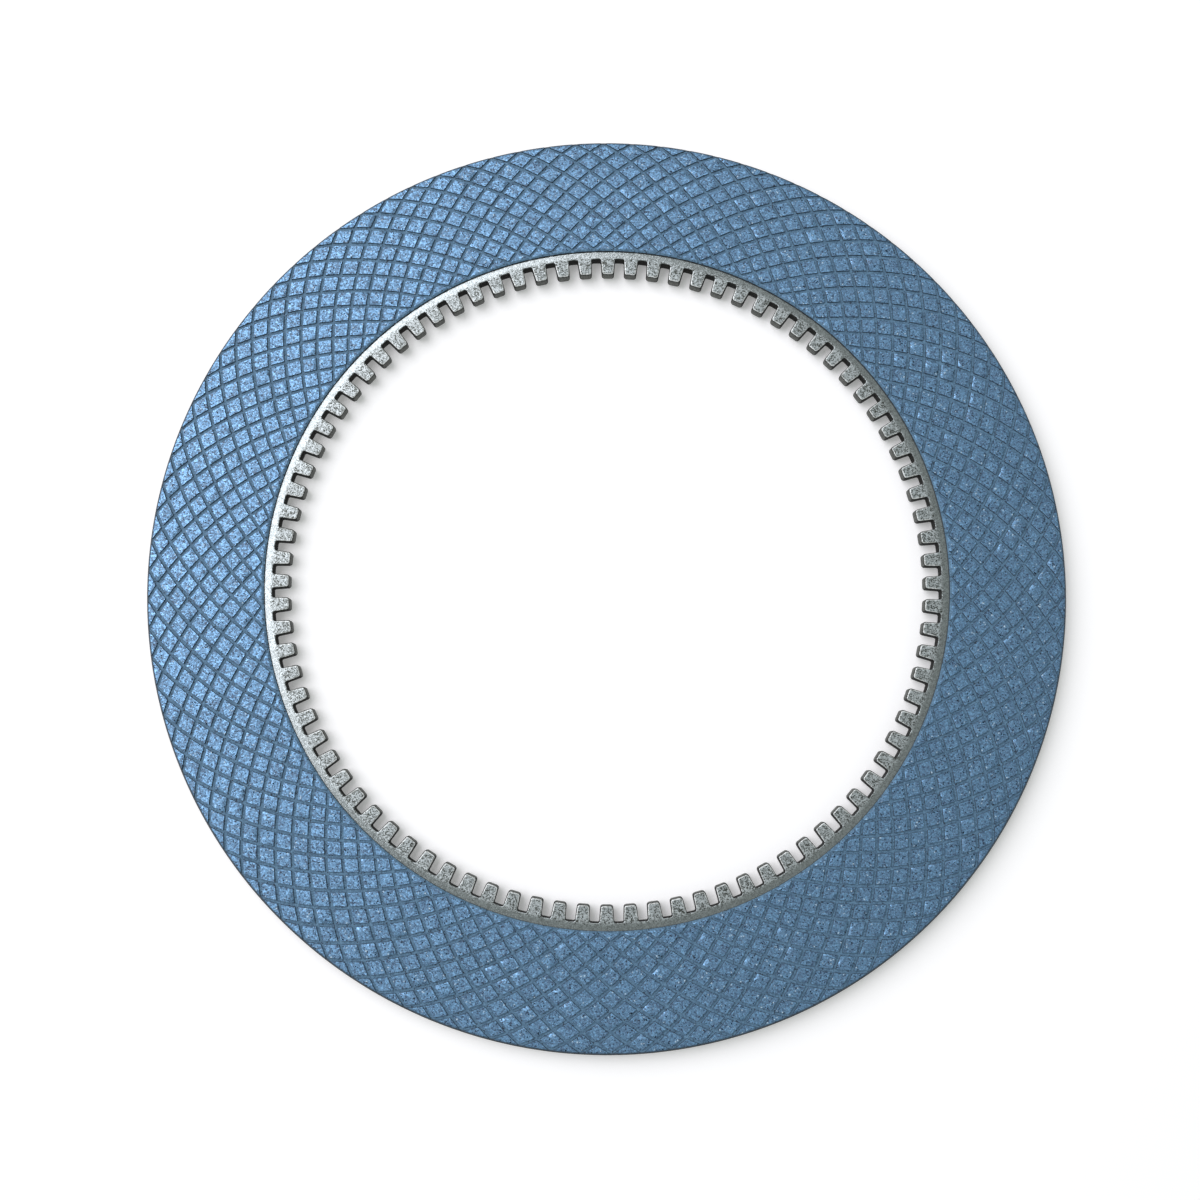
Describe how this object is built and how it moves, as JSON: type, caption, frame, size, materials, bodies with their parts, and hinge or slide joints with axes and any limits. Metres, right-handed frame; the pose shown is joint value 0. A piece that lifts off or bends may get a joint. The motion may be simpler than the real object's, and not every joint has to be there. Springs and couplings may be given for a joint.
{
  "type": "clutch disc",
  "caption": "Flat splined clutch disc: a steel ring plate with internal teeth, lined on both faces with friction rings whose crossing curved grooves leave diamond pads.",
  "frame": {"origin": "on the disc's axis, at the middle of the steel plate's thickness, which is the centre of the whole disc", "axes": "+Z along the disc's axis, out of the front facing; +X from the axis through the middle of one spline tooth; +Y completes a right-handed frame"},
  "size_m": [0.3108, 0.3108, 0.0066],
  "materials": {
    "plate_steel": "matt grainy phosphated steel plate, grey, with brighter worn edges",
    "friction_lining": "blue-grey resin-bonded friction paper, speckled, matt, with darker pressed grooves"
  },
  "bodies": {
    "root": {"core_plate": "plate_steel", "front_facing": "friction_lining", "back_facing": "friction_lining"}
  },
  "joints": []
}
